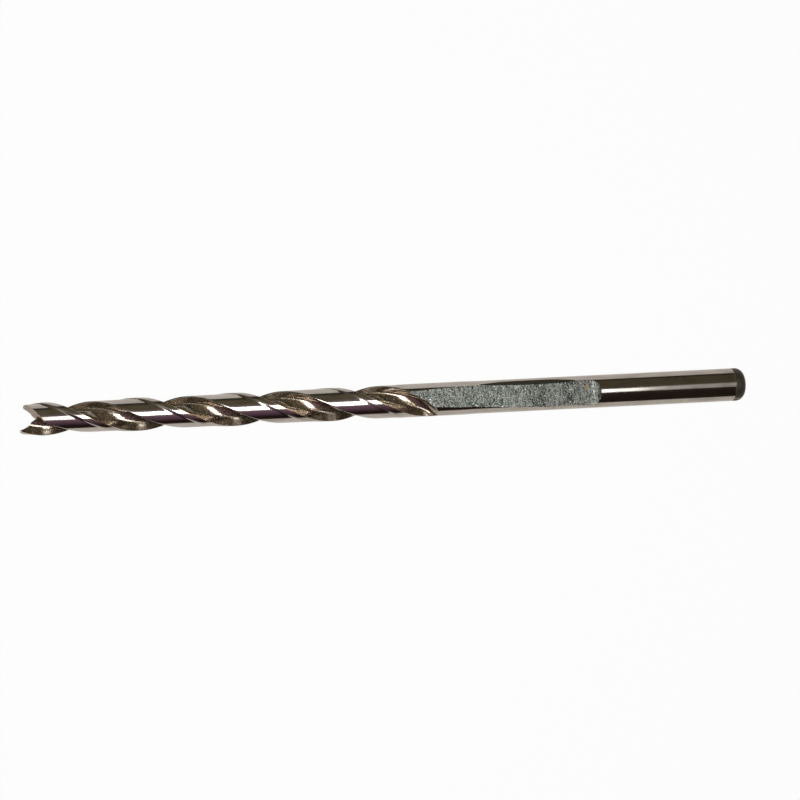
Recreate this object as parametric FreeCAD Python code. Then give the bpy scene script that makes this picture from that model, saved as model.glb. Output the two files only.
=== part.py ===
import FreeCAD, Part
import math
import os

# Pilot drill bit: one turned and ground steel bar with two right-hand flutes, a fishtail point,
# a set-screw flat behind the flutes and a plain round shank with a rounded end.
# Millimetres. Stations along the bit are counted from the tips of the point towards the shank.
# Angles round the bit are counted from the flat's side (up) towards the trailing side of a land.

# Bar
OVERALL_LENGTH = 138.0
CUTTING_DIAMETER = 6.35
SHANK_DIAMETER = 6.24
NECK_BEHIND_FLUTES = 5.5
NECK_LENGTH = 1.5
END_ROUNDING = 1.55

# Point
POINT_TIP_DIAMETER = 5.5
POINT_TAPER_LENGTH = 4.0
LIP_ANGLE = 45.0
LIP_RELIEF = 3.0
CHISEL_STATION = 2.68

# Flutes
FLUTE_COUNT = 2
HELIX_LEAD = 36.8
LEADING_EDGE_UP_STATION = 13.5
WEB_AT_POINT = 1.24
WEB_AT_RUN_OUT = 1.9
FLOOR_RADIUS = 4.5
FLOOR_HALF_ANGLE = 10.0
FLOOR_CORNER_RADIUS = 0.8
FLOOR_TOWARDS_HEEL_ANGLE = 7.0
FLUTE_END_STATION = 79.5
RUN_OUT_RADIUS = 8.0

# Lands
LAND_ANGLE = 98.0
MARGIN_WIDTH = 0.9
STEP_WIDTH = 0.5
CLEARANCE_AT_POINT = 0.28
CLEARANCE_AT_END = 0.05
CLEARANCE_END_STATION = 72.0

# Set-screw flat
FLAT_START_STATION = 71.5
FLAT_START_DEPTH = 0.15
FLAT_START_TILT = -5.6
FLAT_MIDDLE_STATION = 87.0
FLAT_MIDDLE_DEPTH = 0.77
FLAT_MIDDLE_TILT = -5.6
FLAT_FULL_STATION = 99.5
FLAT_FULL_DEPTH = 1.0
FLAT_FULL_TILT = 5.0
FLAT_END_STATION = 110.4
FLAT_END_RADIUS = 2.6

# Shallow facet beside the flat
FACET_STATION = 96.5
FACET_DEPTH = 0.17
FACET_ANGLE = -49.0
FACET_WHEEL_RADIUS = 270.0

# Room that the cutting shapes keep outside the bar, before the point and past the flutes' end
ROOM_OUTSIDE = 1.5
ROOM_BELOW_LAND = 1.0
ROOM_BEFORE_POINT = 1.0
ROOM_BEHIND_HEEL_ANGLE = 6.0
ROOM_PAST_RUN_OUT = 0.4

# Spacing of the sections that carry the helix
SECTION_SPACING = 1.6

# Worked out from the sizes above
cutting_radius = CUTTING_DIAMETER / 2
shank_radius = SHANK_DIAMETER / 2
outside_radius = cutting_radius + ROOM_OUTSIDE
shank_end_station = OVERALL_LENGTH - END_ROUNDING
flute_opening_angle = 360 / FLUTE_COUNT - LAND_ANGLE
floor_to_lead_angle = flute_opening_angle / 2 + FLOOR_TOWARDS_HEEL_ANGLE
floor_to_heel_angle = flute_opening_angle / 2 - FLOOR_TOWARDS_HEEL_ANGLE
AXIS = FreeCAD.Vector(0, 0, 1)
CENTRE = FreeCAD.Vector(0, 0, 0)


def at(radius, angle, station=0.0):
    """A point at a radius and an angle round the axis, on a station along it."""
    turn = math.radians(angle + 180)
    return FreeCAD.Vector(radius * math.cos(turn), radius * math.sin(turn), station)


def lead_angle(station):
    """Where the first land's leading edge stands round the axis at a station."""
    return (station - LEADING_EDGE_UP_STATION) * 360 / HELIX_LEAD


def line(start, end):
    """A straight edge."""
    return Part.LineSegment(start, end).toShape()


def arc(start, middle, end):
    """A round edge through three points."""
    return Part.Arc(start, middle, end).toShape()


def bar():
    """The round bar: tapered point, cutting diameter, shank diameter and rounded end."""
    neck_station = FLUTE_END_STATION + NECK_BEHIND_FLUTES
    outline = [
        CENTRE,
        FreeCAD.Vector(POINT_TIP_DIAMETER / 2, 0, 0),
        FreeCAD.Vector(cutting_radius, 0, POINT_TAPER_LENGTH),
        FreeCAD.Vector(cutting_radius, 0, neck_station),
        FreeCAD.Vector(shank_radius, 0, neck_station + NECK_LENGTH),
        FreeCAD.Vector(shank_radius, 0, OVERALL_LENGTH),
        FreeCAD.Vector(0, 0, OVERALL_LENGTH),
    ]
    blank = Part.Face(Part.makePolygon(outline + outline[:1])).revolve(CENTRE, AXIS, 360)
    end_edge = [edge for edge in blank.Edges if edge.BoundBox.ZMin > shank_end_station]
    return blank.makeFillet(END_ROUNDING, end_edge)


def wall_foot(round_centre, radius, corner, side):
    """Where the straight wall from a corner of the flute touches a round centred inside the flute."""
    to_corner = corner - round_centre
    turn = math.degrees(math.acos(radius / to_corner.Length))
    outward = FreeCAD.Rotation(AXIS, side * turn).multVec(to_corner)
    return round_centre + outward.normalize() * radius


def floor_side(floor_centre, inward, corner, side):
    """One side of the floor: the start and middle of its small corner radius, and the wall's foot."""
    sideways = FreeCAD.Rotation(AXIS, -side * FLOOR_HALF_ANGLE).multVec(inward)
    round_centre = floor_centre + sideways * (FLOOR_RADIUS - FLOOR_CORNER_RADIUS)
    round_start = floor_centre + sideways * FLOOR_RADIUS
    foot = wall_foot(round_centre, FLOOR_CORNER_RADIUS, corner, side)
    halfway = (round_start - round_centre) + (foot - round_centre)
    return round_start, round_centre + halfway.normalize() * FLOOR_CORNER_RADIUS, foot


def beyond(foot, corner):
    """A wall's end, carried on past its corner to stand outside the bar."""
    return corner + (corner - foot).normalize() * ROOM_OUTSIDE


def flute_outline(station):
    """The flute across the bit: a broad floor with rounded sides, and straight walls up to the lands."""
    lead = lead_angle(station)
    middle = lead - floor_to_lead_angle
    web_growth = (WEB_AT_RUN_OUT - WEB_AT_POINT) * station / FLUTE_END_STATION
    floor_height = (WEB_AT_POINT + web_growth) / 2
    floor_centre = at(floor_height + FLOOR_RADIUS, middle, station)
    leading_corner = at(cutting_radius, lead, station)
    heel_corner = at(cutting_radius, lead - flute_opening_angle, station)
    inward = at(-1, middle)
    leading_start, leading_round, leading_foot = floor_side(floor_centre, inward, leading_corner, 1)
    heel_start, heel_round, heel_foot = floor_side(floor_centre, inward, heel_corner, -1)
    leading_end = beyond(leading_foot, leading_corner)
    heel_end = beyond(heel_foot, heel_corner)
    edges = [
        line(heel_end, heel_foot),
        arc(heel_foot, heel_round, heel_start),
        arc(heel_start, at(floor_height, middle, station), leading_start),
        arc(leading_start, leading_round, leading_foot),
        line(leading_foot, leading_end),
        arc(leading_end, at(outside_radius + ROOM_OUTSIDE, middle, station), heel_end),
    ]
    outline = Part.Wire(edges)
    outline.translate(at(run_out_lift(station), middle))
    return outline


def run_out_length():
    """How far before its end a flute starts to rise on the grinding wheel's radius."""
    rise = cutting_radius - WEB_AT_RUN_OUT / 2
    return math.sqrt(RUN_OUT_RADIUS ** 2 - (RUN_OUT_RADIUS - rise) ** 2)


def run_out_lift(station):
    """How far the flute has risen on the wheel's radius at a station."""
    along = max(0, station - FLUTE_END_STATION + run_out_length())
    return RUN_OUT_RADIUS - math.sqrt(RUN_OUT_RADIUS ** 2 - along ** 2)


def stations_between(start, end):
    """Even stations from start to end, close enough together to carry the helix."""
    steps = math.ceil((end - start) / SECTION_SPACING)
    return [start + (end - start) * index / steps for index in range(steps + 1)]


def flute_cutter():
    """One flute, from before the point to past its run-out at the shank end."""
    stations = stations_between(-ROOM_BEFORE_POINT, FLUTE_END_STATION + ROOM_PAST_RUN_OUT)
    return Part.makeLoft([flute_outline(station) for station in stations], True)


def clearance_outline(station):
    """Across the bit, the sector behind a land's margin and step that is ground back to the heel."""
    lead = lead_angle(station)
    margin_angle = math.degrees(MARGIN_WIDTH / cutting_radius)
    step_angle = margin_angle + math.degrees(STEP_WIDTH / cutting_radius)
    heel_angle = LAND_ANGLE + ROOM_BEHIND_HEEL_ANGLE
    step_top = at(cutting_radius, lead + margin_angle, station)
    step_foot = at(cutting_radius - CLEARANCE_AT_POINT, lead + step_angle, station)
    below = cutting_radius - CLEARANCE_AT_POINT - ROOM_BELOW_LAND
    corners = [
        beyond(step_foot, step_top),
        beyond(step_top, step_foot),
        at(below, lead + step_angle, station),
        at(below, lead + heel_angle, station),
        at(outside_radius + ROOM_OUTSIDE, lead + heel_angle, station),
        at(outside_radius + ROOM_OUTSIDE, lead + margin_angle, station),
    ]
    return Part.makePolygon(corners + corners[:1])


def clearance_cutter():
    """One land's clearance: less and less deep towards the shank, down to a cone."""
    stations = stations_between(-ROOM_BEFORE_POINT, CLEARANCE_END_STATION)
    sector = Part.makeLoft([clearance_outline(station) for station in stations], True)
    fading = (CLEARANCE_AT_POINT - CLEARANCE_AT_END) / CLEARANCE_END_STATION
    length = CLEARANCE_END_STATION + 2 * ROOM_BEFORE_POINT
    start_radius = cutting_radius - CLEARANCE_AT_POINT - fading * ROOM_BEFORE_POINT
    start = FreeCAD.Vector(0, 0, -ROOM_BEFORE_POINT)
    core = Part.makeCone(start_radius, start_radius + fading * length, length, start)
    return sector.cut(core)


def repeat_round(shapes):
    """The same cutters once for each flute, spaced evenly round the axis."""
    copies = []
    for index in range(FLUTE_COUNT):
        for shape in shapes:
            copy = shape.copy()
            copy.rotate(CENTRE, AXIS, index * 360 / FLUTE_COUNT)
            copies.append(copy)
    return copies


def lip_cutter():
    """The end of one land, ground from its lip back to its heel, and only on its own side of the web."""
    reach = CUTTING_DIAMETER
    rise = reach / math.tan(math.radians(LIP_ANGLE))
    corners = [
        FreeCAD.Vector(-reach, 0, -reach),
        FreeCAD.Vector(reach, 0, -reach),
        FreeCAD.Vector(reach, 0, CHISEL_STATION - rise),
        FreeCAD.Vector(-reach, 0, CHISEL_STATION + rise),
    ]
    face = Part.Face(Part.makePolygon(corners + corners[:1]))
    cutter = face.extrude(FreeCAD.Vector(0, reach, reach * math.tan(math.radians(LIP_RELIEF))))
    cutter.rotate(CENTRE, AXIS, lead_angle(0) + 180)
    return cutter


def flat_section(station, depth, tilt):
    """A section of the cutter that leaves the flat: its lower side stands at the flat's depth."""
    level = shank_radius - depth
    half_width = CUTTING_DIAMETER
    corners = [
        FreeCAD.Vector(-level, -half_width, station),
        FreeCAD.Vector(-level, half_width, station),
        FreeCAD.Vector(-CUTTING_DIAMETER, half_width, station),
        FreeCAD.Vector(-CUTTING_DIAMETER, -half_width, station),
    ]
    outline = Part.makePolygon(corners + corners[:1])
    outline.rotate(CENTRE, AXIS, tilt)
    return outline


def wheel_across(radius, distance, station, angle):
    """A grinding wheel lying across the bit, its centre at a distance from the axis."""
    start = FreeCAD.Vector(-distance, -CUTTING_DIAMETER, station)
    wheel = Part.makeCylinder(radius, 2 * CUTTING_DIAMETER, start, FreeCAD.Vector(0, 1, 0))
    wheel.rotate(CENTRE, AXIS, angle)
    return wheel


def flat_cutters():
    """The set-screw flat: it deepens and twists a little towards the shank, and runs out on a radius."""
    run_out = math.sqrt(FLAT_END_RADIUS ** 2 - (FLAT_END_RADIUS - FLAT_FULL_DEPTH) ** 2)
    floor_end = FLAT_END_STATION - run_out
    sections = [
        flat_section(FLAT_START_STATION, FLAT_START_DEPTH, FLAT_START_TILT),
        flat_section(FLAT_MIDDLE_STATION, FLAT_MIDDLE_DEPTH, FLAT_MIDDLE_TILT),
        flat_section(FLAT_FULL_STATION, FLAT_FULL_DEPTH, FLAT_FULL_TILT),
        flat_section(floor_end, FLAT_FULL_DEPTH, FLAT_FULL_TILT),
    ]
    floor = Part.makeLoft(sections, True, True)
    wheel_distance = shank_radius - FLAT_FULL_DEPTH + FLAT_END_RADIUS
    return [floor, wheel_across(FLAT_END_RADIUS, wheel_distance, floor_end, FLAT_FULL_TILT)]


def facet_cutter():
    """The shallow facet along the flat's upper edge, as a large wheel leaves it."""
    distance = shank_radius - FACET_DEPTH + FACET_WHEEL_RADIUS
    return wheel_across(FACET_WHEEL_RADIUS, distance, FACET_STATION, FACET_ANGLE)


def drill_bit():
    """The whole bit, standing on its point along the axis."""
    body = bar()
    cutters = repeat_round([clearance_cutter()])
    cutters += repeat_round([flute_cutter()])
    cutters += repeat_round([lip_cutter()])
    cutters += flat_cutters()
    cutters.append(facet_cutter())
    for cutter in cutters:
        body = body.cut(cutter)
    return body


def lay_down(shape):
    """Lay the bit along +X, flat up, its origin on the axis where the shank's round end begins."""
    shape.translate(FreeCAD.Vector(0, 0, -shank_end_station))
    shape.rotate(CENTRE, FreeCAD.Vector(0, 1, 0), 90)
    return shape


os.makedirs("parts", exist_ok=True)
lay_down(drill_bit()).exportStep("parts/drill_bit.step")
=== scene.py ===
import logging
import math
from dataclasses import dataclass, field
from enum import IntEnum

import bmesh
import bpy
from mathutils import Matrix, Vector


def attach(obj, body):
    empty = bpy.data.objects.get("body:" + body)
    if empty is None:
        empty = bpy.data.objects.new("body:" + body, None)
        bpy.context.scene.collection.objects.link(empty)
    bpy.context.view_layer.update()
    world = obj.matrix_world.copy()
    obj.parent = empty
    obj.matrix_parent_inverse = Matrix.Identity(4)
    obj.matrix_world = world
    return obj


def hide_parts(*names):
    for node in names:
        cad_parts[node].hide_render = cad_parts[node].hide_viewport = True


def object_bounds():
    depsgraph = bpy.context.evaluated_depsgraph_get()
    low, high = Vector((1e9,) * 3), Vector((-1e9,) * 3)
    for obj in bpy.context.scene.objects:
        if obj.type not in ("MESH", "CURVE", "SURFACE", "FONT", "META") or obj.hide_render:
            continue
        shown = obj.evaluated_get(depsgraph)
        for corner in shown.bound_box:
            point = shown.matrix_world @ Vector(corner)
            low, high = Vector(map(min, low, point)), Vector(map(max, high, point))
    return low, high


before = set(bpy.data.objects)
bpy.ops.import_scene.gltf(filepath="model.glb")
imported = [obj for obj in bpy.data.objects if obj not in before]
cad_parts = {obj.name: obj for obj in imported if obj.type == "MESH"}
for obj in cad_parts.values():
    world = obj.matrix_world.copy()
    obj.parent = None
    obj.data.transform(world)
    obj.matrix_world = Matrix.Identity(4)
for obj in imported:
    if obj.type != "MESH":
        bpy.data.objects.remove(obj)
cad_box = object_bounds()

log = logging.getLogger("pilot_drill")

MM = 0.001
NODE = "drill_bit"
MERGE_DISTANCE = 0.0005 * MM
CUTTER_MERGE_DISTANCE = 0.0001 * MM
SLIVER_LENGTH = 0.0002 * MM

Colour = tuple[float, float, float, float]
Span = tuple[float, float]


class Zone(IntEnum):
    """The finishes of the bit, in the order of its material slots."""

    LAND = 0
    FLUTE = 1
    FLAT = 2
    POINT = 3
    EDGE = 4
    STEP = 5
    FACET = 6


@dataclass(frozen=True)
class BitSizes:
    """The bit's sizes in metres and degrees.

    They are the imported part's, apart from the step, which is wider here to steer its reflection. The
    last three are the scene's own: the edge's hone, the heel's rounding and the depth below which a
    flute has run out. Stations are counted from the tips of the point towards the shank. Angles are
    counted round the axis from the flat's side towards the trailing side of a land.
    """

    overall_length: float = 138.0 * MM
    cutting_radius: float = 6.35 * MM / 2
    shank_radius: float = 6.24 * MM / 2
    neck_station: float = 85.0 * MM
    neck_length: float = 1.5 * MM
    end_rounding: float = 1.55 * MM
    point_tip_radius: float = 5.5 * MM / 2
    point_taper_length: float = 4.0 * MM
    lip_angle: float = 45.0
    lip_relief: float = 3.0
    chisel_station: float = 2.68 * MM
    helix_lead: float = 36.8 * MM
    leading_edge_up_station: float = 13.5 * MM
    web_at_point: float = 1.24 * MM
    web_at_run_out: float = 1.9 * MM
    floor_radius: float = 4.5 * MM
    floor_half_angle: float = 10.0
    floor_corner_radius: float = 0.8 * MM
    floor_towards_heel_angle: float = 7.0
    flute_end_station: float = 79.5 * MM
    run_out_radius: float = 8.0 * MM
    land_angle: float = 98.0
    margin_width: float = 0.9 * MM
    step_width: float = 0.72 * MM
    clearance_at_point: float = 0.28 * MM
    clearance_at_end: float = 0.05 * MM
    clearance_end_station: float = 72.0 * MM
    edge_hone: float = 0.045 * MM
    heel_round: float = 0.3 * MM
    least_flute_depth: float = 0.002 * MM

    @property
    def shank_end_station(self) -> float:
        """The station where the shank's round wall ends, which is the frame's origin."""
        return self.overall_length - self.end_rounding

    @property
    def floor_to_heel_angle(self) -> float:
        """From the flute's deepest line to the heel's corner."""
        return (180 - self.land_angle) / 2 - self.floor_towards_heel_angle

    @property
    def floor_to_lead_angle(self) -> float:
        """From the flute's deepest line to the leading corner."""
        return (180 - self.land_angle) / 2 + self.floor_towards_heel_angle

    def at(self, radius: float, angle: float, station: float) -> Vector:
        """A point at a radius, an angle round the axis and a station along it."""
        turn = math.radians(angle)
        x = station - self.shank_end_station
        return Vector((x, -radius * math.sin(turn), radius * math.cos(turn)))

    def lead_angle(self, station: float) -> float:
        """Where the first land's leading edge stands round the axis at a station."""
        return (station - self.leading_edge_up_station) * 360 / self.helix_lead

    def bar_radius(self, station: float) -> float:
        """The turned bar's radius: tapered point, cutting size, neck, shank and rounded end."""
        if station < self.point_taper_length:
            growth = (self.cutting_radius - self.point_tip_radius) / self.point_taper_length
            return self.point_tip_radius + growth * station
        if station <= self.neck_station:
            return self.cutting_radius
        if station < self.neck_station + self.neck_length:
            share = (station - self.neck_station) / self.neck_length
            return self.cutting_radius + (self.shank_radius - self.cutting_radius) * share
        past = max(0.0, station - self.shank_end_station)
        flat_end = self.shank_radius - self.end_rounding
        return flat_end + math.sqrt(max(0.0, self.end_rounding ** 2 - past ** 2))

    def cleared_radius(self, station: float) -> float:
        """The land's radius behind its margin and step."""
        if station >= self.clearance_end_station:
            return self.bar_radius(station)
        fading = (self.clearance_at_point - self.clearance_at_end) * station / self.clearance_end_station
        return min(self.bar_radius(station), self.cutting_radius - self.clearance_at_point + fading)


@dataclass(frozen=True)
class FluteSide:
    """Half of a flute's outline: half the broad floor, its small corner radius and the straight wall.

    Places are counted from the floor's deepest point, x away from the bit's axis and y to this side.
    """

    floor_radius: float
    floor_turn: float
    corner_radius: float
    wall_turn: float

    @property
    def floor_length(self) -> float:
        """The length of this half of the floor."""
        return self.floor_radius * self.floor_turn

    @property
    def foot_distance(self) -> float:
        """The distance along the outline to the wall's foot."""
        return self.floor_length + self.corner_radius * (self.wall_turn - self.floor_turn)

    @classmethod
    def up_to(cls, sizes: BitSizes, corner: Vector) -> "FluteSide":
        """The side whose wall runs through a corner of the land.

        Args:
            sizes: The bit's sizes.
            corner: The land's corner, counted from the floor's deepest point.

        Returns:
            The side.
        """
        floor_turn = math.radians(sizes.floor_half_angle)
        lean = sizes.floor_radius - sizes.floor_corner_radius
        centre = Vector((sizes.floor_radius - lean * math.cos(floor_turn), lean * math.sin(floor_turn)))
        to_corner = corner - centre
        direction = math.pi - math.atan2(to_corner.y, to_corner.x)
        wall_turn = direction - math.acos(sizes.floor_corner_radius / to_corner.length)
        return cls(sizes.floor_radius, floor_turn, sizes.floor_corner_radius, wall_turn)

    def point(self, along: float) -> Vector:
        """The outline's point at a distance along it from the deepest point."""
        floor = min(along / self.floor_radius, self.floor_turn)
        spot = self.floor_radius * Vector((1 - math.cos(floor), math.sin(floor)))
        past_floor = max(0.0, along - self.floor_length)
        turn = min(self.wall_turn, floor + past_floor / self.corner_radius)
        bend = Vector((math.cos(floor) - math.cos(turn), math.sin(turn) - math.sin(floor)))
        spot += self.corner_radius * bend
        past_foot = max(0.0, along - self.foot_distance)
        return spot + past_foot * Vector((math.sin(turn), math.cos(turn)))


class FluteCurve:
    """One flute's outline across the bit at a station.

    Points on it are found by their distance along it from the deepest line, positive towards the
    leading edge. The outline is kept in the flute's own plane, where x points away from the axis along
    the deepest line and y towards the leading edge.
    """

    halvings = 40

    def __init__(self, sizes: BitSizes, station: float) -> None:
        """Work out both sides of the outline at a station."""
        self.sizes = sizes
        self.station = station
        growth = (sizes.web_at_run_out - sizes.web_at_point) * station / sizes.flute_end_station
        self.floor_height = (sizes.web_at_point + growth) / 2
        self.sides = {
            1: FluteSide.up_to(sizes, self.corner(sizes.floor_to_lead_angle)),
            -1: FluteSide.up_to(sizes, self.corner(sizes.floor_to_heel_angle)),
        }

    def corner(self, angle: float) -> Vector:
        """A land's corner at an angle from the deepest line, counted from the deepest point."""
        turn = math.radians(angle)
        radius = self.sizes.cutting_radius
        return Vector((radius * math.cos(turn) - self.floor_height, radius * math.sin(turn)))

    @property
    def lift(self) -> float:
        """How far the whole outline has risen on the grinding wheel's radius."""
        size = self.sizes
        rise = size.cutting_radius - size.web_at_run_out / 2
        length = math.sqrt(size.run_out_radius ** 2 - (size.run_out_radius - rise) ** 2)
        along = min(length, max(0.0, self.station - size.flute_end_station + length))
        return size.run_out_radius - math.sqrt(size.run_out_radius ** 2 - along ** 2)

    def point(self, distance: float) -> Vector:
        """The outline's point at a distance along it from the deepest line.

        Args:
            distance: The distance, positive towards the leading edge.

        Returns:
            The point in the flute's own plane, seen from the bit's axis.
        """
        side = 1 if distance >= 0 else -1
        spot = self.sides[side].point(abs(distance))
        return Vector((spot.x + self.floor_height + self.lift, side * spot.y))

    def reach(self, radius: float, side: int) -> float:
        """How far along the outline it meets a circle round the bit's axis.

        Args:
            radius: The circle's radius.
            side: 1 towards the leading edge, -1 towards the heel.

        Returns:
            The distance from the deepest line, or 0 where the flute no longer reaches into the circle.
        """
        if self.point(0.0).length >= radius - self.sizes.least_flute_depth:
            return 0.0
        low, high = 0.0, 3 * self.sizes.cutting_radius
        for _ in range(self.halvings):
            middle = (low + high) / 2
            if self.point(side * middle).length < radius:
                low = middle
            else:
                high = middle
        return low


@dataclass
class FlutedBar:
    """The bit's skin before its point and flat are ground: a grid wrapped round the axis.

    The heel's rounding and the hone take at most rounding_limit of a flute's side, so that they fade
    out with it.
    """

    sizes: BitSizes
    margin_steps: int = 8
    step_steps: int = 4
    fillet_steps: int = 6
    clearance_steps: int = 24
    heel_steps: int = 6
    flute_steps: int = 42
    fluted_spacing: float = 0.4 * MM
    clearance_gap: float = 0.02 * MM
    run_out_spacing: float = 0.2 * MM
    nose_length: float = 1.5 * MM
    nose_spacing: float = 0.08 * MM
    plain_gap: float = 0.5 * MM
    shank_spacing: float = 1.5 * MM
    rounding_steps: int = 14
    rounding_limit: float = 0.25

    def columns(self) -> list[Zone]:
        """The zones of the grid's columns round the bit, for both lands and flutes."""
        land = [Zone.EDGE] + [Zone.LAND] * self.margin_steps + [Zone.STEP] * self.step_steps
        land += [Zone.LAND] * (self.fillet_steps + self.clearance_steps + self.heel_steps)
        return (land + [Zone.FLUTE] * self.flute_steps) * 2

    def stations(self) -> list[float]:
        """The grid's rows along the bit, closer where a flute runs out and where the end rounds."""
        size = self.sizes
        cleared = size.clearance_end_station
        nose = size.flute_end_station - self.nose_length
        shank_start = size.neck_station + size.neck_length
        rows = self.even(0.0, cleared, self.fluted_spacing)
        rows += self.even(cleared + self.clearance_gap, nose, self.run_out_spacing)
        rows += self.even(nose, size.flute_end_station, self.nose_spacing)[1:]
        rows += [size.flute_end_station + self.plain_gap, size.neck_station, shank_start]
        rows += self.even(shank_start, size.shank_end_station - self.plain_gap, self.shank_spacing)[1:]
        for index in range(self.rounding_steps + 1):
            turn = math.pi / 2 * index / self.rounding_steps
            rows.append(size.shank_end_station + size.end_rounding * math.sin(turn))
        return rows

    @staticmethod
    def even(start: float, end: float, spacing: float) -> list[float]:
        """Even stations from start to end, both included."""
        steps = math.ceil((end - start) / spacing)
        return [start + (end - start) * index / steps for index in range(steps + 1)]

    def land_points(self, station: float, lead: float, heel: float, heel_side: Vector) -> list[Vector]:
        """One land's points from its leading edge round its heel to the flute's wall.

        The step behind the margin falls in an S, and narrows where the clearance fades out.

        Args:
            station: The station along the bit.
            lead: The leading edge's angle there.
            heel: The heel's angle there.
            heel_side: Where the heel's rounding ends on the flute's wall.

        Returns:
            The points, with one more than the land has columns.
        """
        size = self.sizes
        outer = size.bar_radius(station)
        inner = size.cleared_radius(station)
        hone = math.degrees(size.edge_hone / outer)
        margin = lead + math.degrees(size.margin_width / size.cutting_radius)
        share = min(1.0, (outer - inner) / size.clearance_at_end)
        foot = margin + math.degrees(size.step_width / size.cutting_radius) * share
        corner = size.at(inner, heel, station)
        rounded = math.degrees((heel_side - corner).length / inner)
        points = []
        for index in range(self.margin_steps + 1):
            angle = lead + hone + (margin - lead - hone) * index / self.margin_steps
            points.append(size.at(outer, angle, station))
        slope_steps = self.step_steps + self.fillet_steps
        for index in range(1, slope_steps + 1):
            part = index / slope_steps
            radius = outer + (inner - outer) * part ** 2 * (3 - 2 * part)
            points.append(size.at(radius, margin + (foot - margin) * part, station))
        for index in range(1, self.clearance_steps + 1):
            angle = foot + (heel - rounded - foot) * index / self.clearance_steps
            points.append(size.at(inner, angle, station))
        start = points[-1]
        for index in range(1, self.heel_steps + 1):
            part = index / self.heel_steps
            points.append(start.lerp(corner, part).lerp(corner.lerp(heel_side, part), part))
        return points

    def flute_points(self, station: float, middle: float) -> list[Vector]:
        """One flute's points from the heel's rounding to the next leading edge.

        Args:
            station: The station along the bit.
            middle: The angle of the flute's deepest line there.

        Returns:
            The points, with one more than the flute has columns.
        """
        size = self.sizes
        curve = FluteCurve(size, station)
        to_heel = curve.reach(size.cleared_radius(station), -1)
        to_heel -= min(size.heel_round, to_heel * self.rounding_limit)
        to_lead = curve.reach(size.bar_radius(station), 1)
        to_lead -= min(size.edge_hone, to_lead * self.rounding_limit)
        points = []
        for index in range(self.flute_steps + 1):
            spot = curve.point(-to_heel + (to_heel + to_lead) * index / self.flute_steps)
            if to_heel == 0.0:
                spot = Vector((size.bar_radius(station), 0.0))
            angle = middle + math.degrees(math.atan2(spot.y, spot.x))
            points.append(size.at(spot.length, angle, station))
        return points

    def ring(self, station: float) -> list[Vector]:
        """All points round the bit at a station, in the order of the columns."""
        size = self.sizes
        turning = min(station, size.flute_end_station)
        curve = FluteCurve(size, turning)
        heel_spot = curve.point(-curve.reach(size.cleared_radius(turning), -1))
        lead_spot = curve.point(curve.reach(size.bar_radius(turning), 1))
        points = []
        for half in (0.0, 180.0):
            middle = size.lead_angle(turning) - size.floor_to_lead_angle + half
            lead = middle + math.degrees(math.atan2(lead_spot.y, lead_spot.x))
            next_middle = middle + 180
            heel = next_middle + math.degrees(math.atan2(heel_spot.y, heel_spot.x))
            if station >= size.flute_end_station:
                lead, heel = middle, next_middle
            flute = self.flute_points(station, next_middle)
            points += self.land_points(station, lead, heel, flute[0]) + flute[1:]
        return points

    def build(self) -> bmesh.types.BMesh:
        """Wrap a grid round the stations' rings and close its ends.

        Returns:
            The closed skin, whose faces carry their zones as material numbers.
        """
        zones = self.columns()
        rows = self.stations()
        skin = bmesh.new()
        bmesh.ops.create_grid(skin, x_segments=len(zones), y_segments=len(rows) - 1, size=0.5)
        rings = [self.ring(station) for station in rows]
        place = {}
        for vert in skin.verts:
            column = round((vert.co.x + 0.5) * len(zones))
            row = round((vert.co.y + 0.5) * (len(rows) - 1))
            place[vert] = rings[row][column % len(zones)]
        for face in skin.faces:
            column = math.floor((face.calc_center_median().x + 0.5) * len(zones))
            face.material_index = zones[column]
            face.smooth = True
        for vert, spot in place.items():
            vert.co = spot
        bmesh.ops.remove_doubles(skin, verts=skin.verts[:], dist=MERGE_DISTANCE)
        bmesh.ops.dissolve_degenerate(skin, edges=skin.edges[:], dist=MERGE_DISTANCE)
        bmesh.ops.holes_fill(skin, edges=[edge for edge in skin.edges if edge.is_boundary], sides=0)
        bmesh.ops.recalc_face_normals(skin, faces=skin.faces[:])
        return skin


@dataclass
class PointGrind:
    """The fishtail point: each land's end is ground flat on its own side of the web.

    Each wedge reaches a hair past the middle, so that no fin is left standing between the two.
    """

    sizes: BitSizes
    overlap: float = 0.002 * MM

    def cutter(self, half: float) -> bmesh.types.BMesh:
        """The wedge that leaves one land's end face.

        Args:
            half: 0 for the first land, 180 for the second.

        Returns:
            The wedge as a closed prism.
        """
        size = self.sizes
        reach = 4 * size.cutting_radius
        rise = reach / math.tan(math.radians(size.lip_angle))
        relief = reach * math.tan(math.radians(size.lip_relief))
        chisel = size.chisel_station - size.shank_end_station
        ahead = chisel - reach - rise
        corners = [
            Vector((ahead, -self.overlap, -reach)),
            Vector((ahead, -self.overlap, reach)),
            Vector((chisel + rise, -self.overlap, reach)),
            Vector((chisel - rise, -self.overlap, -reach)),
        ]
        wedge = bmesh.new()
        face = wedge.faces.new([wedge.verts.new(corner) for corner in corners])
        swept = bmesh.ops.extrude_face_region(wedge, geom=[face])
        moved = [item for item in swept["geom"] if isinstance(item, bmesh.types.BMVert)]
        bmesh.ops.translate(wedge, verts=moved, vec=(relief, reach, 0))
        turn = Matrix.Rotation(math.radians(size.lead_angle(0.0) + half), 4, "X")
        bmesh.ops.transform(wedge, matrix=turn, verts=wedge.verts[:])
        return finish_cutter(wedge, Zone.POINT)


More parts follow.
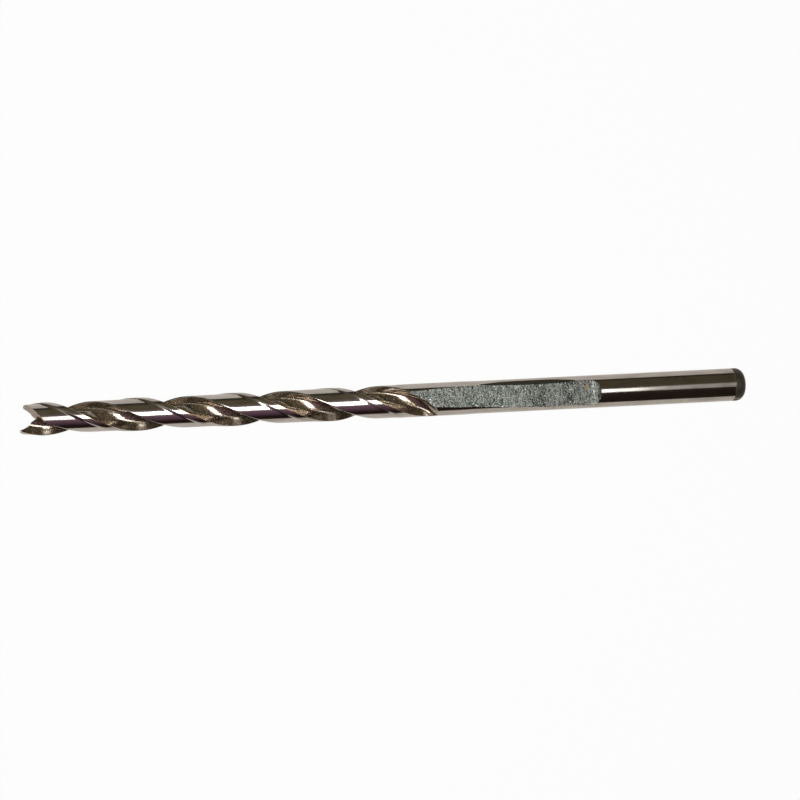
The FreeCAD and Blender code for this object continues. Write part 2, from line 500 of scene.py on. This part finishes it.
@dataclass
class FlatGrind:
    """The set-screw flat, its run-out and the shallow facet beside it.

    The facet's angle puts its dark band where the photograph has it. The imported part's is -49.
    """

    sizes: BitSizes
    stations: tuple[float, ...] = (71.5 * MM, 87.0 * MM, 99.5 * MM)
    depths: tuple[float, ...] = (0.15 * MM, 0.77 * MM, 1.0 * MM)
    tilts: tuple[float, ...] = (-5.6, -5.6, 5.0)
    end_station: float = 110.4 * MM
    end_radius: float = 2.6 * MM
    facet_station: float = 96.5 * MM
    facet_depth: float = 0.17 * MM
    facet_angle: float = -43.0
    facet_wheel_radius: float = 270.0 * MM
    spacing: float = 0.5 * MM
    half_width: float = 6.35 * MM
    wheel_steps: int = 36
    turn_beyond_cut: float = 1.25

    def floor_end(self) -> float:
        """The station where the floor meets the run-out's radius."""
        full = self.depths[-1]
        return self.end_station - math.sqrt(self.end_radius ** 2 - (self.end_radius - full) ** 2)

    def at_station(self, station: float) -> tuple[float, float]:
        """The flat's depth and tilt at a station, even between the named ones."""
        marks = list(zip(self.stations, self.depths, self.tilts))
        for (start, depth, tilt), (end, next_depth, next_tilt) in zip(marks, marks[1:]):
            if station <= end:
                share = (station - start) / (end - start)
                return depth + (next_depth - depth) * share, tilt + (next_tilt - tilt) * share
        return self.depths[-1], self.tilts[-1]

    def floor_cutter(self) -> bmesh.types.BMesh:
        """The long block whose underside leaves the flat's floor."""
        size = self.sizes
        rows = FlutedBar.even(self.stations[0], self.stations[1], self.spacing)
        rows += FlutedBar.even(self.stations[1], self.stations[2], self.spacing)[1:]
        rows += FlutedBar.even(self.stations[2], self.floor_end(), self.spacing)[1:]
        block = bmesh.new()
        bmesh.ops.create_cube(block, size=1.0)
        crossing = [edge for edge in block.edges if edge.verts[0].co.x != edge.verts[1].co.x]
        bmesh.ops.subdivide_edges(block, edges=crossing, cuts=len(rows) - 2, use_grid_fill=True)
        for vert in block.verts:
            row = round((vert.co.x + 0.5) * (len(rows) - 1))
            depth, tilt = self.at_station(rows[row])
            level = size.shank_radius - depth if vert.co.z < 0 else self.half_width
            spot = Vector((0, self.half_width * (1 if vert.co.y > 0 else -1), level))
            spot.rotate(Matrix.Rotation(math.radians(tilt), 3, "X"))
            vert.co = Vector((rows[row] - size.shank_end_station, spot.y, spot.z))
        return finish_cutter(block, Zone.FLAT)

    def wheel(
        self, radius: float, depth: float, station: float, angle: float, zone: Zone
    ) -> bmesh.types.BMesh:
        """The part of a grinding wheel that dips into the bar, spun round its own axis.

        Args:
            radius: The wheel's radius.
            depth: How deep it dips into the shank.
            station: The station of its lowest line.
            angle: Its angle round the bit.
            zone: The finish that it leaves.

        Returns:
            A closed piece of a disc.
        """
        size = self.sizes
        lift = size.shank_radius - depth + radius
        outer = lift - radius
        inner = outer + min(radius, 2 * size.shank_radius)
        x = station - size.shank_end_station
        half_turn = math.acos((radius - depth) / radius) * self.turn_beyond_cut
        width = self.half_width
        slab = bmesh.new()
        corners = [(x, -width, outer), (x, width, outer), (x, width, inner), (x, -width, inner)]
        face = slab.faces.new([slab.verts.new(corner) for corner in corners])
        centre = Vector((x, 0, lift))
        swing = Matrix.Rotation(-half_turn, 4, "Y")
        back = Matrix.Translation(centre) @ swing @ Matrix.Translation(-centre)
        bmesh.ops.transform(slab, matrix=back, verts=slab.verts[:])
        profile = [face] + face.edges[:] + face.verts[:]
        bmesh.ops.spin(slab, geom=profile, cent=centre, axis=(0, 1, 0),
                       angle=2 * half_turn, steps=self.wheel_steps, use_duplicate=False)
        bmesh.ops.holes_fill(slab, edges=[edge for edge in slab.edges if edge.is_boundary], sides=0)
        turned = Matrix.Rotation(math.radians(angle), 4, "X")
        bmesh.ops.transform(slab, matrix=turned, verts=slab.verts[:])
        return finish_cutter(slab, zone)

    def cutters(self) -> list[bmesh.types.BMesh]:
        """All the shapes that the flat's grinding takes away."""
        run_out = (self.end_radius, self.depths[-1], self.floor_end(), self.tilts[-1])
        facet = (self.facet_wheel_radius, self.facet_depth, self.facet_station, self.facet_angle)
        return [self.floor_cutter(), self.wheel(*run_out, Zone.FLAT), self.wheel(*facet, Zone.FACET)]


def finish_cutter(cutter: bmesh.types.BMesh, zone: Zone) -> bmesh.types.BMesh:
    """Close a cutting shape, turn its faces outward and mark the finish that it leaves.

    Args:
        cutter: The shape.
        zone: The finish of the faces that it leaves.

    Returns:
        The same shape.
    """
    bmesh.ops.remove_doubles(cutter, verts=cutter.verts[:], dist=CUTTER_MERGE_DISTANCE)
    bmesh.ops.recalc_face_normals(cutter, faces=cutter.faces[:])
    for face in cutter.faces:
        face.material_index = zone
        face.smooth = True
    return cutter


def as_object(
    name: str, shape: bmesh.types.BMesh, materials: list[bpy.types.Material]
) -> bpy.types.Object:
    """Put a shape into the scene.

    Args:
        name: The object's name.
        shape: The shape, which is freed.
        materials: Its materials.

    Returns:
        The object.
    """
    mesh = bpy.data.meshes.new(name)
    shape.to_mesh(mesh)
    shape.free()
    for material in materials:
        mesh.materials.append(material)
    made = bpy.data.objects.new(name, mesh)
    bpy.context.scene.collection.objects.link(made)
    return made


class Wire:
    """A shader socket that takes part in written maths."""

    def __init__(self, shader: "Shader", socket: bpy.types.NodeSocket) -> None:
        """Keep the socket and the shader that it belongs to."""
        self.shader = shader
        self.socket = socket

    def maths(self, operation: str, first: "Wire | float", second: "Wire | float") -> "Wire":
        """Add one Math node.

        Args:
            operation: The node's operation.
            first: Its first value.
            second: Its second value.

        Returns:
            The node's result.
        """
        return self.shader.add("ShaderNodeMath", {"operation": operation}, {0: first, 1: second})

    def __add__(self, other: "Wire | float") -> "Wire":
        """self + other."""
        return self.maths("ADD", self, other)

    __radd__ = __add__

    def __sub__(self, other: "Wire | float") -> "Wire":
        """self - other."""
        return self.maths("SUBTRACT", self, other)

    def __rsub__(self, other: "Wire | float") -> "Wire":
        """other - self."""
        return self.maths("SUBTRACT", other, self)

    def __mul__(self, other: "Wire | float") -> "Wire":
        """self * other."""
        return self.maths("MULTIPLY", self, other)

    __rmul__ = __mul__

    def between(self, low: float, high: float) -> "Wire":
        """A smooth rise from 0 at low to 1 at high, or a fall where low is above high.

        Args:
            low: Where the result is 0.
            high: Where the result is 1.

        Returns:
            The share from 0 to 1.
        """
        ends = (low, high, 0.0, 1.0) if low < high else (high, low, 1.0, 0.0)
        values = {"Value": self, **dict(enumerate(ends, start=1))}
        return self.shader.add("ShaderNodeMapRange", {"interpolation_type": "SMOOTHSTEP"}, values)


class Shader:
    """The nodes of a material or of the world, written as Python."""

    def __init__(self, owner: bpy.types.Material | bpy.types.World) -> None:
        """Start with no nodes."""
        self.owner = owner
        owner.use_nodes = True
        self.tree = owner.node_tree
        self.tree.nodes.clear()

    @classmethod
    def named(cls, name: str) -> "Shader":
        """Start a new material."""
        return cls(bpy.data.materials.new(name))

    def node(self, kind: str, settings: dict, values: dict) -> bpy.types.Node:
        """Add a node of any kind.

        Args:
            kind: The node's type.
            settings: Its own settings, set first.
            values: The values or links of its sockets, by name or place.

        Returns:
            The node.
        """
        made = self.tree.nodes.new(kind)
        for name, value in settings.items():
            setattr(made, name, value)
        for name, value in values.items():
            if isinstance(value, Wire):
                self.tree.links.new(value.socket, made.inputs[name])
            else:
                made.inputs[name].default_value = value
        return made

    def add(self, kind: str, settings: dict, values: dict, output: int | str = 0) -> Wire:
        """Add a node and take one of its outputs.

        Args:
            kind: The node's type.
            settings: Its own settings.
            values: The values or links of its sockets.
            output: The output to take.

        Returns:
            The output, ready for maths.
        """
        return Wire(self, self.node(kind, settings, values).outputs[output])

    def place(self) -> Wire:
        """The surface's place on the bit."""
        return self.add("ShaderNodeTexCoord", {}, {}, "Object")

    def along(self) -> Wire:
        """The surface's distance along the bit from the origin."""
        return self.add("ShaderNodeSeparateXYZ", {}, {"Vector": self.place()}, "X")

    def noise(
        self, scale: tuple[float, float, float], detail: float = 2.0, rough: float = 0.5
    ) -> Wire:
        """Soft noise with its own scale along, across and up the bit.

        Args:
            scale: The number of lumps per metre each way.
            detail: How many finer layers it has.
            rough: How strong the finer layers are.

        Returns:
            The noise, about 0.5 on average.
        """
        stretched = self.add("ShaderNodeMapping", {}, {"Vector": self.place(), "Scale": scale})
        values = {"Vector": stretched, "Scale": 1.0, "Detail": detail, "Roughness": rough}
        return self.add("ShaderNodeTexNoise", {}, values, "Fac")

    def near(self, x: float, y: float, radius: float) -> Wire:
        """A soft round patch seen from above.

        Args:
            x: Its middle along the bit.
            y: Its middle across the bit.
            radius: How far it reaches.

        Returns:
            1 at its middle, 0 from its radius on.
        """
        kind = "ShaderNodeVectorMath"
        flat = self.add(kind, {"operation": "MULTIPLY"}, {0: self.place(), 1: (1.0, 1.0, 0.0)})
        gap = self.add(kind, {"operation": "DISTANCE"}, {0: flat, 1: (x, y, 0.0)}, "Value")
        return gap.between(radius, 0.0)

    def mix(self, share: Wire | float, first: Wire | tuple, second: Wire | tuple) -> Wire:
        """Mix two colours.

        Args:
            share: How much of the second there is.
            first: The first colour.
            second: The second colour.

        Returns:
            The mixed colour.
        """
        values = {0: share, 6: first, 7: second}
        return self.add("ShaderNodeMix", {"data_type": "RGBA"}, values, 2)

    def bump(self, height: Wire, depth: float) -> Wire:
        """Raise the surface by a height, with its depth in metres."""
        values = {"Height": height, "Distance": depth, "Strength": 1.0}
        return self.add("ShaderNodeBump", {}, values, "Normal")

    def steel(self, values: dict) -> bpy.types.Material:
        """Close the material with one Principled surface.

        Args:
            values: The values or links of the surface's sockets.

        Returns:
            The finished material.
        """
        surface = self.add("ShaderNodeBsdfPrincipled", {}, values)
        self.node("ShaderNodeOutputMaterial", {}, {"Surface": surface})
        return self.owner


def grey(level: float, warmth: float = 0.0) -> Colour:
    """A grey of a level, warmer towards yellow by warmth."""
    return (level * (1 + warmth), level, level * (1 - warmth), 1.0)


@dataclass(frozen=True)
class LandFinish:
    """Ground and polished steel, with dark scale left round the shank's end."""

    bright: Colour = (0.52, 0.49, 0.45, 1.0)
    dull: Colour = (0.40, 0.37, 0.33, 1.0)
    scale_colour: Colour = (0.075, 0.065, 0.045, 1.0)
    scale_start: float = -0.55 * MM
    scale_fade: float = 0.25 * MM
    scale_wobble: float = 0.5 * MM
    roughness: float = 0.085
    relief: float = 0.0012 * MM

    def build(self) -> bpy.types.Material:
        """Make the material."""
        shader = Shader.named("land_steel")
        rings = shader.noise((9000.0, 260.0, 260.0), detail=3.0, rough=0.6)
        clouds = shader.noise((240.0, 700.0, 700.0), detail=2.0)
        wobble = shader.noise((900.0, 900.0, 900.0), detail=2.0)
        place = shader.along() + wobble * self.scale_wobble
        scale = place.between(self.scale_start, self.scale_start + self.scale_fade)
        steel = shader.mix(clouds.between(0.4, 0.75), self.bright, self.dull)
        grain = shader.noise((5000.0, 5000.0, 5000.0), detail=3.0, rough=0.7)
        return shader.steel({
            "Base Color": shader.mix(scale, steel, self.scale_colour),
            "Metallic": 1.0 - scale * 0.55,
            "Roughness": self.roughness + rings * 0.05 + clouds * 0.05 + scale * 0.35,
            "Normal": shader.bump(rings * 0.4 + grain * scale * 6.0, self.relief),
        })


@dataclass(frozen=True)
class StepFinish:
    """The slope behind the margin, coarser than the land."""

    colour: Colour = (0.27, 0.23, 0.19, 1.0)
    roughness: float = 0.4
    relief: float = 0.004 * MM

    def build(self) -> bpy.types.Material:
        """Make the material."""
        shader = Shader.named("step_steel")
        grain = shader.noise((2500.0, 2500.0, 2500.0), detail=3.0, rough=0.6)
        return shader.steel({
            "Base Color": shader.mix(grain, self.colour, grey(0.12, 0.12)),
            "Metallic": 1.0,
            "Roughness": self.roughness + grain * 0.2,
            "Normal": shader.bump(grain, self.relief),
        })


@dataclass(frozen=True)
class EdgeFinishAndPaintedHighlight:
    """The thin honed line along a leading edge, whose brighter gold colour is a painted highlight."""

    # Painted highlight: brighter and more golden than the land's steel, for the bright line along the
    # edge.
    colour: Colour = (0.75, 0.62, 0.40, 1.0)
    roughness: float = 0.3

    def build(self) -> bpy.types.Material:
        """Make the material."""
        shader = Shader.named("edge_steel_painted_highlight")
        nicks = shader.noise((1800.0, 1800.0, 1800.0), detail=2.0)
        return shader.steel({
            "Base Color": shader.mix(nicks.between(0.35, 0.6), self.colour, grey(0.3, 0.2)),
            "Metallic": 1.0,
            "Roughness": self.roughness,
        })


@dataclass(frozen=True)
class FluteFinish:
    """The flutes' floor and walls: oxide-brown, speckled and grainy."""

    light: Colour = (0.38, 0.305, 0.21, 1.0)
    dark: Colour = (0.10, 0.08, 0.056, 1.0)
    film: Colour = (1.0, 0.96, 0.9, 1.0)
    film_roughness: float = 0.1
    film_index: float = 1.9
    metallic: float = 0.85
    roughness: float = 0.14
    relief: float = 0.008 * MM

    def build(self) -> bpy.types.Material:
        """Make the material."""
        shader = Shader.named("flute_steel")
        grain = shader.noise((3600.0, 3600.0, 3600.0), detail=4.0, rough=0.65)
        patches = shader.noise((600.0, 600.0, 600.0), detail=2.0)
        specks = shader.noise((3900.0, 3900.0, 3900.0), detail=1.0, rough=0.5)
        tone = (grain * 0.7 + patches * 0.3).between(0.36, 0.64)
        oxide = shader.mix(tone, self.dark, self.light)
        return shader.steel({
            "Base Color": shader.mix(specks.between(0.62, 0.7), oxide, grey(0.9, 0.1)),
            "Metallic": self.metallic,
            "Roughness": self.roughness + grain * 0.15,
            "Normal": shader.bump(grain, self.relief),
            "Coat Weight": 1.0,
            "Coat Roughness": self.film_roughness,
            "Coat IOR": self.film_index,
            "Coat Tint": self.film,
        })


@dataclass(frozen=True)
class FlatFinish:
    """The roughly ground flat: marks across, bright specks and a few spots of rust."""

    light: Colour = (0.31, 0.33, 0.295, 1.0)
    dark: Colour = (0.045, 0.056, 0.05, 1.0)
    glint: Colour = (0.74, 0.78, 0.70, 1.0)
    rust: Colour = (0.36, 0.24, 0.12, 1.0)
    metallic: float = 0.85
    roughness: float = 0.34
    relief: float = 0.05 * MM
    rust_spots: tuple[tuple[float, float, float], ...] = (
        (-38.8 * MM, 1.4 * MM, 0.45 * MM),
        (-38.1 * MM, 0.1 * MM, 0.4 * MM),
        (-28.7 * MM, 0.9 * MM, 0.8 * MM),
    )

    def build(self) -> bpy.types.Material:
        """Make the material."""
        shader = Shader.named("flat_steel")
        marks = shader.noise((3400.0, 800.0, 800.0), detail=1.0, rough=0.5)
        grain = shader.noise((4600.0, 3800.0, 3800.0), detail=1.0, rough=0.5)
        glints = shader.noise((5200.0, 4200.0, 4200.0), detail=1.0, rough=0.5)
        broad = shader.noise((330.0, 50.0, 50.0), detail=2.0, rough=0.6)
        tone = (marks * 0.38 + grain * 0.44 + broad * 0.18).between(0.4, 0.61)
        steel = shader.mix(tone, self.dark, self.light)
        steel = shader.mix(glints.between(0.6, 0.72), steel, self.glint)
        spots = shader.noise((1500.0, 1500.0, 1500.0), detail=2.0, rough=0.6)
        rusty = sum((shader.near(*spot) for spot in self.rust_spots), 0.0)
        stained = rusty * spots.between(0.35, 0.6)
        return shader.steel({
            "Base Color": shader.mix(stained.between(0.1, 0.9), steel, self.rust),
            "Metallic": self.metallic,
            "Roughness": self.roughness + grain * 0.25,
            "Normal": shader.bump(marks * 0.4 + grain * 0.6, self.relief),
        })


@dataclass(frozen=True)
class PointFinish:
    """The point's end faces, plainly ground."""

    colour: Colour = (0.52, 0.43, 0.34, 1.0)
    roughness: float = 0.3
    relief: float = 0.006 * MM

    def build(self) -> bpy.types.Material:
        """Make the material."""
        shader = Shader.named("point_steel")
        marks = shader.noise((1200.0, 6000.0, 1200.0), detail=3.0, rough=0.6)
        return shader.steel({
            "Base Color": shader.mix(marks.between(0.35, 0.65), self.colour, grey(0.2, 0.2)),
            "Metallic": 1.0,
            "Roughness": self.roughness + marks * 0.15,
            "Normal": shader.bump(marks, self.relief),
        })


@dataclass
class DrillBit:
    """The whole bit: the fluted bar, ground at its point and flat, in its finishes.

    It is cut in millimetres, where the exact boolean holds, and scaled back to metres. The shrink
    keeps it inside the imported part's box.
    """

    sizes: BitSizes = field(default_factory=BitSizes)
    sharp_angle: float = 22.0
    shrink: float = 0.9999

    def materials(self) -> list[bpy.types.Material]:
        """The finishes in the order of the zones."""
        finishes = {
            Zone.LAND: LandFinish(),
            Zone.FLUTE: FluteFinish(),
            Zone.FLAT: FlatFinish(),
            Zone.POINT: PointFinish(),
            Zone.EDGE: EdgeFinishAndPaintedHighlight(),
            Zone.STEP: StepFinish(),
            Zone.FACET: LandFinish(),
        }
        return [finishes[zone].build() for zone in Zone]

    def build(self) -> bpy.types.Object:
        """Cut the point and the flat out of the fluted bar and shade the result.

        Returns:
            The finished bit.
        """
        materials = self.materials()
        bar = FlutedBar(self.sizes).build()
        point = PointGrind(self.sizes)
        shapes = [point.cutter(0.0), point.cutter(180.0)] + FlatGrind(self.sizes).cutters()
        for shape in [bar] + shapes:
            bmesh.ops.scale(shape, vec=(1 / MM, 1 / MM, 1 / MM), verts=shape.verts[:])
        blank = as_object("bit_blank", bar, materials)
        cutters = []
        for index, shape in enumerate(shapes):
            cutter = as_object(f"cutter_{index}", shape, materials)
            ground = blank.modifiers.new(cutter.name, "BOOLEAN")
            ground.operation = "DIFFERENCE"
            ground.solver = "EXACT"
            ground.object = cutter
            cutters.append(cutter)
        bpy.context.view_layer.update()
        evaluated = blank.evaluated_get(bpy.context.evaluated_depsgraph_get())
        mesh = bpy.data.meshes.new_from_object(evaluated)
        mesh.transform(Matrix.Scale(MM * self.shrink, 4))
        bit = bpy.data.objects.new("pilot_drill_bit", mesh)
        bpy.context.scene.collection.objects.link(bit)
        for scrap in cutters + [blank]:
            bpy.data.objects.remove(scrap)
        self.shade(mesh)
        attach(bit, "root")
        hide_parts(NODE)
        return bit

    def shade(self, mesh: bpy.types.Mesh) -> None:
        """Merge loose seams, and keep edges crisp where the surface breaks or the finish changes."""
        shape = bmesh.new()
        shape.from_mesh(mesh)
        bmesh.ops.remove_doubles(shape, verts=shape.verts[:], dist=MERGE_DISTANCE)
        bmesh.ops.dissolve_degenerate(shape, edges=shape.edges[:], dist=SLIVER_LENGTH)
        loose = [edge for edge in shape.edges if not edge.link_faces]
        bmesh.ops.delete(shape, geom=loose, context="EDGES")
        limit = math.radians(self.sharp_angle)
        for face in shape.faces:
            face.smooth = True
        for edge in shape.edges:
            faces = edge.link_faces
            if len(faces) == 2:
                changes = faces[0].material_index != faces[1].material_index
                edge.smooth = not changes and edge.calc_face_angle(0.0) < limit
        open_edges = sum(1 for edge in shape.edges if not edge.is_manifold)
        log.info("bit mesh: %d faces, %d open edges", len(shape.faces), open_edges)
        shape.to_mesh(mesh)
        shape.free()


@dataclass(frozen=True)
class View:
    """The camera above the bit, framed as the photograph is.

    The scale is one pixel's width. The lens's offset and the centre's height are counted in pixels.
    """

    scale: float = 0.19116 * MM
    frame_pixels: int = 800
    slope: float = 2.854
    centre_station: float = 72.45 * MM
    centre_above_axis: float = 1.1
    lens_offset: float = -55.0
    distance: float = 225.6 * MM
    sensor: float = 36.0
    clip_start: float = 0.01

    def build(self, sizes: BitSizes) -> bpy.types.Object:
        """Make the camera and give it to the scene."""
        lens = bpy.data.cameras.new("camera")
        lens.sensor_width = self.sensor
        lens.lens = self.sensor * self.distance / (self.frame_pixels * self.scale)
        lens.shift_x = -self.lens_offset / self.frame_pixels
        lens.clip_start = self.clip_start
        camera = bpy.data.objects.new("camera", lens)
        turn = Matrix.Rotation(math.radians(-self.slope), 4, "Z")
        middle = Vector((self.centre_station - sizes.shank_end_station, 0, self.distance))
        offset = turn @ Vector((self.lens_offset * self.scale, self.centre_above_axis * self.scale, 0))
        camera.location = middle + offset
        camera.rotation_euler = (0.0, 0.0, math.radians(-self.slope))
        bpy.context.scene.collection.objects.link(camera)
        bpy.context.scene.camera = camera
        return camera


@dataclass(frozen=True)
class Lamp:
    """A soft flat lamp facing down, placed along the bit from the camera."""

    name: str
    along: float
    length: float
    width: float
    radiance: float
    height: float = 225.6 * MM

    def build(self, camera: bpy.types.Object) -> None:
        """Put the lamp beside the camera."""
        light = bpy.data.lights.new(self.name, "AREA")
        light.shape = "RECTANGLE"
        light.size = self.length
        light.size_y = self.width
        light.energy = math.pi * self.length * self.width * self.radiance
        lamp = bpy.data.objects.new(self.name, light)
        lamp.location = (camera.location.x + self.along, camera.location.y, self.height)
        bpy.context.scene.collection.objects.link(lamp)


@dataclass(frozen=True)
class Studio:
    """A pale floor, soft lamps above and a dim room round it.

    The room's colours depend on the direction alone: how far it points up, across towards the far
    side and along towards the shank, each from -1 to 1. A span says where one gives way to the next.
    """

    floor_size: float = 6.0
    floor_colour: Colour = (0.9, 0.9, 0.89, 1.0)
    white_share: float = 0.96
    reflected_share: float = 0.36
    reflected_tint: Colour = (1.0, 0.93, 0.86, 1.0)
    lamps: tuple[Lamp, ...] = (
        Lamp("main_lamp", along=-43.3 * MM, length=126.6 * MM, width=92 * MM, radiance=7.0),
        Lamp("point_lamp", along=-116.6 * MM, length=20 * MM, width=92 * MM, radiance=1.0),
        Lamp("shank_lamp", along=96 * MM, length=30 * MM, width=76 * MM, radiance=3.0),
    )
    far_high: Colour = (0.20, 0.15, 0.17, 1.0)
    far_middle: Colour = (0.135, 0.115, 0.075, 1.0)
    far_low: Colour = (0.03, 0.028, 0.02, 1.0)
    near_high: Colour = (0.18, 0.095, 0.145, 1.0)
    near_low: Colour = (0.025, 0.013, 0.013, 1.0)
    shank_near: Colour = (0.024, 0.016, 0.012, 1.0)
    shank_far: Colour = (0.085, 0.072, 0.045, 1.0)
    ceiling: Colour = (0.45, 0.42, 0.41, 1.0)
    far_low_to_middle: Span = (0.1, 0.5)
    far_middle_to_high: Span = (0.8, 0.97)
    near_low_to_high: Span = (0.35, 0.95)
    near_to_far: Span = (-0.1, 0.1)
    shank_end: Span = (0.1, 0.2)
    shank_low_to_high: Span = (0.1, 0.5)
    ceiling_height: Span = (0.1, 0.3)
    ceiling_half_width: float = 0.2
    ceiling_fade_out: float = 0.26

    def floor(self, level: float) -> None:
        """The floor under the bit: white to the camera, dimmer and warm in the steel's reflections.

        A little of its paint still shows to the camera, which keeps the bit's shadow.

        Args:
            level: The floor's height.
        """
        sheet = bmesh.new()
        bmesh.ops.create_grid(sheet, x_segments=1, y_segments=1, size=self.floor_size / 2)
        bmesh.ops.translate(sheet, verts=sheet.verts[:], vec=(0, 0, level))
        shader = Shader.named("pale_floor")
        paint = shader.add("ShaderNodeBsdfDiffuse", {}, {"Color": self.floor_colour})
        camera = shader.add("ShaderNodeLightPath", {}, {}, "Is Camera Ray")
        glossy = shader.add("ShaderNodeLightPath", {}, {}, "Is Glossy Ray")
        tint = shader.mix(glossy, grey(1.0), self.reflected_tint)
        glow = shader.add("ShaderNodeEmission", {}, {"Color": tint, "Strength": 1.0})
        seen = camera * self.white_share + glossy * self.reflected_share
        surface = shader.add("ShaderNodeMixShader", {}, {0: seen, 1: paint, 2: glow})
        shader.node("ShaderNodeOutputMaterial", {}, {"Surface": surface})
        floor = as_object("floor", sheet, [shader.owner])

    def room(self) -> None:
        """The dim room that the steel reflects, with a grey ceiling, and white to the camera itself."""
        world = bpy.data.worlds.new("dim_room")
        bpy.context.scene.world = world
        shader = Shader(world)
        direction = shader.add("ShaderNodeTexCoord", {}, {}, "Generated")
        split = shader.node("ShaderNodeSeparateXYZ", {}, {"Vector": direction})
        end = Wire(shader, split.outputs["X"])
        side = Wire(shader, split.outputs["Y"])
        up = Wire(shader, split.outputs["Z"])
        far = shader.mix(up.between(*self.far_middle_to_high), self.far_middle, self.far_high)
        far = shader.mix(up.between(*self.far_low_to_middle), self.far_low, far)
        near = shader.mix(up.between(*self.near_low_to_high), self.near_low, self.near_high)
        shank_share = end.between(*self.shank_end)
        near = shader.mix(shank_share, near, self.shank_near)
        far = shader.mix(shank_share * up.between(*self.shank_low_to_high), far, self.shank_far)
        walls = shader.mix(side.between(*self.near_to_far), near, far)
        width, fade = self.ceiling_half_width, self.ceiling_fade_out
        across = side.between(fade, width) * side.between(-fade, -width)
        overhead = across * up.between(*self.ceiling_height)
        seen = shader.add("ShaderNodeLightPath", {}, {}, "Is Camera Ray")
        colour = shader.mix(seen, shader.mix(overhead, walls, self.ceiling), grey(1.0))
        light = shader.add("ShaderNodeBackground", {}, {"Color": colour, "Strength": 1.0})
        shader.node("ShaderNodeOutputWorld", {}, {"Surface": light})

    def build(self, camera: bpy.types.Object, level: float) -> None:
        """Set up the floor, the lamps and the room."""
        self.floor(level)
        for lamp in self.lamps:
            lamp.build(camera)
        self.room()
        bpy.context.scene.view_settings.view_transform = "Standard"


def main() -> None:
    """Build the bit, the view and the studio, and report each piece."""
    logging.basicConfig(level=logging.INFO, format="%(name)s: %(message)s")
    bit = DrillBit()
    piece = bit.build()
    log.info("%s: %d vertices", piece.name, len(piece.data.vertices))
    camera = View().build(bit.sizes)
    log.info("camera: %.1f mm lens", camera.data.lens)
    Studio().build(camera, cad_box[0][2])
    log.info("studio: floor, lamps and room")


if __name__ == "__main__":
    main()
